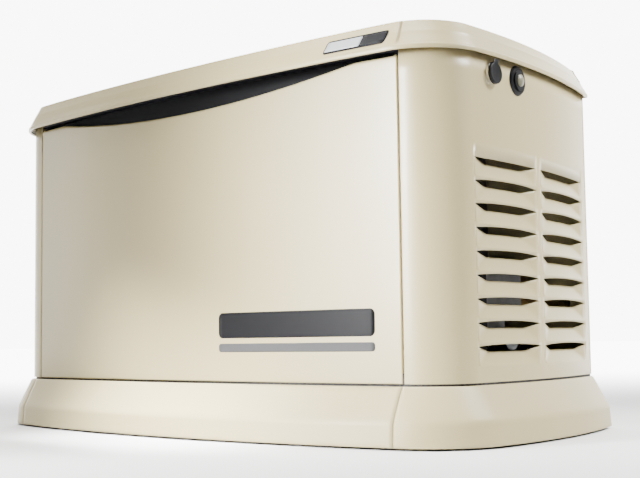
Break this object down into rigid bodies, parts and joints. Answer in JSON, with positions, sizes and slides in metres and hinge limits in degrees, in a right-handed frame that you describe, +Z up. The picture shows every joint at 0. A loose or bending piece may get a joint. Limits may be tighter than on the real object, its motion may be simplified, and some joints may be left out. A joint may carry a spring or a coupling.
{
  "type": "home standby generator",
  "caption": "Pad mounted home standby generator: louvred steel case, rear hinged lid, pull off front panel, and a gas engine, alternator and controller inside.",
  "frame": {"origin": "on the ground at the middle of the bounding box", "axes": "+Z up, front towards -Y, long side along X"},
  "size_m": [1.3128, 0.6849, 0.736],
  "materials": {
    "powder_coat": "satin",
    "fascia_plastic": "satin",
    "galvanised": "satin",
    "black_plastic": "satin",
    "black_rubber": "matte",
    "foam": "matte",
    "chrome": "polished",
    "steel": "satin",
    "cast_aluminium": "satin",
    "black_paint": "satin",
    "lens": "gloss",
    "decal_film": "satin",
    "badge_plate": "gloss",
    "screen": "gloss",
    "key_green": "satin",
    "key_red": "satin",
    "key_grey": "satin",
    "copper_iron": "matte",
    "exhaust_steel": "matte",
    "brass": "satin",
    "filter_white": "gloss"
  },
  "bodies": {
    "base": {"air_cleaner": "black_plastic", "base_pan": "black_paint", "battery": "black_plastic", "battery_strap": "steel", "blower_housing": "black_plastic", "breaker_body": "black_plastic", "case_screws": "steel", "conduit_hub": "galvanised", "controller_box": "black_plastic", "controller_screen": "screen", "crankcase": "cast_aluminium", "cylinder_heads": "cast_aluminium", "cylinders": "cast_aluminium", "divider": "galvanised", "end_bracket": "cast_aluminium", "fascia_front": "fascia_plastic", "fascia_left": "fascia_plastic", "fascia_rear": "fascia_plastic", "fascia_right": "fascia_plastic", "front_frame": "black_paint", "fuel_hose": "black_rubber", "fuel_inlet": "brass", "hinge_case_leaves": "steel", "hinge_pins": "steel", "isolators": "black_rubber", "lamp_bezel": "black_plastic", "lamp_lens": "lens", "lid_seal": "black_rubber", "lock_body": "chrome", "mixer": "cast_aluminium", "muffler": "exhaust_steel", "oil_filter": "filter_white", "rear_panel": "powder_coat", "regulator": "cast_aluminium", "side_panel_left": "powder_coat", "side_panel_right": "powder_coat", "spark_plugs": "black_rubber", "starter_motor": "black_paint", "stator_frame": "copper_iron", "valve_covers": "black_paint"},
    "lid": {"lid": "powder_coat", "lid_foam": "foam", "hinge_lid_leaves": "steel", "stay_channel": "galvanised", "lid_striker": "galvanised", "lid_badge": "badge_plate"},
    "front_panel": {"front_panel": "powder_coat", "front_decal": "decal_film"},
    "stay_rod": {"stay_rod": "steel"},
    "lock_plug": {"lock_plug": "chrome"},
    "lock_cover": {"lock_cover": "black_plastic"},
    "breaker_toggle": {"breaker_toggle": "black_plastic"},
    "key_auto": {"key_auto": "key_green"},
    "key_off": {"key_off": "key_red"},
    "key_manual": {"key_manual": "key_grey"},
    "fuel_knob": {"fuel_knob": "black_plastic"},
    "oil_cap": {"oil_cap": "black_plastic"},
    "crank": {"crankshaft": "steel", "flywheel_fan": "cast_aluminium", "rotor": "copper_iron"}
  },
  "joints": [
    {"name": "lid_open", "type": "hinge", "parent": "base", "child": "lid", "pos_m": [0, 0.3395, 0.6675], "axis": [-1, 0, 0], "range_deg": [0, 70]},
    {"name": "stay_swing", "type": "hinge", "parent": "base", "child": "stay_rod", "pos_m": [-0.53, 0.1695, 0.6675], "axis": [-1, 0, 0], "range_deg": [0, 140]},
    {"name": "panel_pull", "type": "slide", "parent": "base", "child": "front_panel", "axis": [0, -1, 0], "range_m": [0, 0.3]},
    {"name": "lock_turn", "type": "hinge", "parent": "base", "child": "lock_plug", "pos_m": [0.61358, -0.0975, 0.644], "axis": [0.9997, 0.0242, 0], "range_deg": [0, 90]},
    {"name": "cover_flip", "type": "hinge", "parent": "base", "child": "lock_cover", "pos_m": [0.62217, -0.09729, 0.6663], "axis": [0.0242, -0.9997, 0], "range_deg": [0, 85], "stiffness_Nm_per_rad": 0.01, "springref_deg": -17.19},
    {"name": "breaker_throw", "type": "hinge", "parent": "base", "child": "breaker_toggle", "pos_m": [0.347, -0.045, 0.592], "axis": [1, 0, 0], "range_deg": [0, 30]},
    {"name": "press_auto", "type": "slide", "parent": "base", "child": "key_auto", "axis": [0, 0.7071, -0.7071], "range_m": [0, 0.0015], "stiffness_N_per_m": 800},
    {"name": "press_off", "type": "slide", "parent": "base", "child": "key_off", "axis": [0, 0.7071, -0.7071], "range_m": [0, 0.0015], "stiffness_N_per_m": 800},
    {"name": "press_manual", "type": "slide", "parent": "base", "child": "key_manual", "axis": [0, 0.7071, -0.7071], "range_m": [0, 0.0015], "stiffness_N_per_m": 800},
    {"name": "knob_turn", "type": "hinge", "parent": "base", "child": "fuel_knob", "pos_m": [0.51, 0.03, 0.3], "axis": [0, 0, -1], "range_deg": [0, 180]},
    {"name": "oil_cap_turn", "type": "hinge", "parent": "base", "child": "oil_cap", "pos_m": [0.06, -0.098, 0.29], "axis": [0, -1, 0], "range_deg": [0, 90]},
    {"name": "crank_spin", "type": "hinge", "parent": "base", "child": "crank", "pos_m": [0, 0.03, 0.29], "axis": [1, 0, 0], "continuous": true}
  ],
  "couplings": [
    {"joint": "stay_swing", "follows": "lid_open", "ratio": 2}
  ]
}
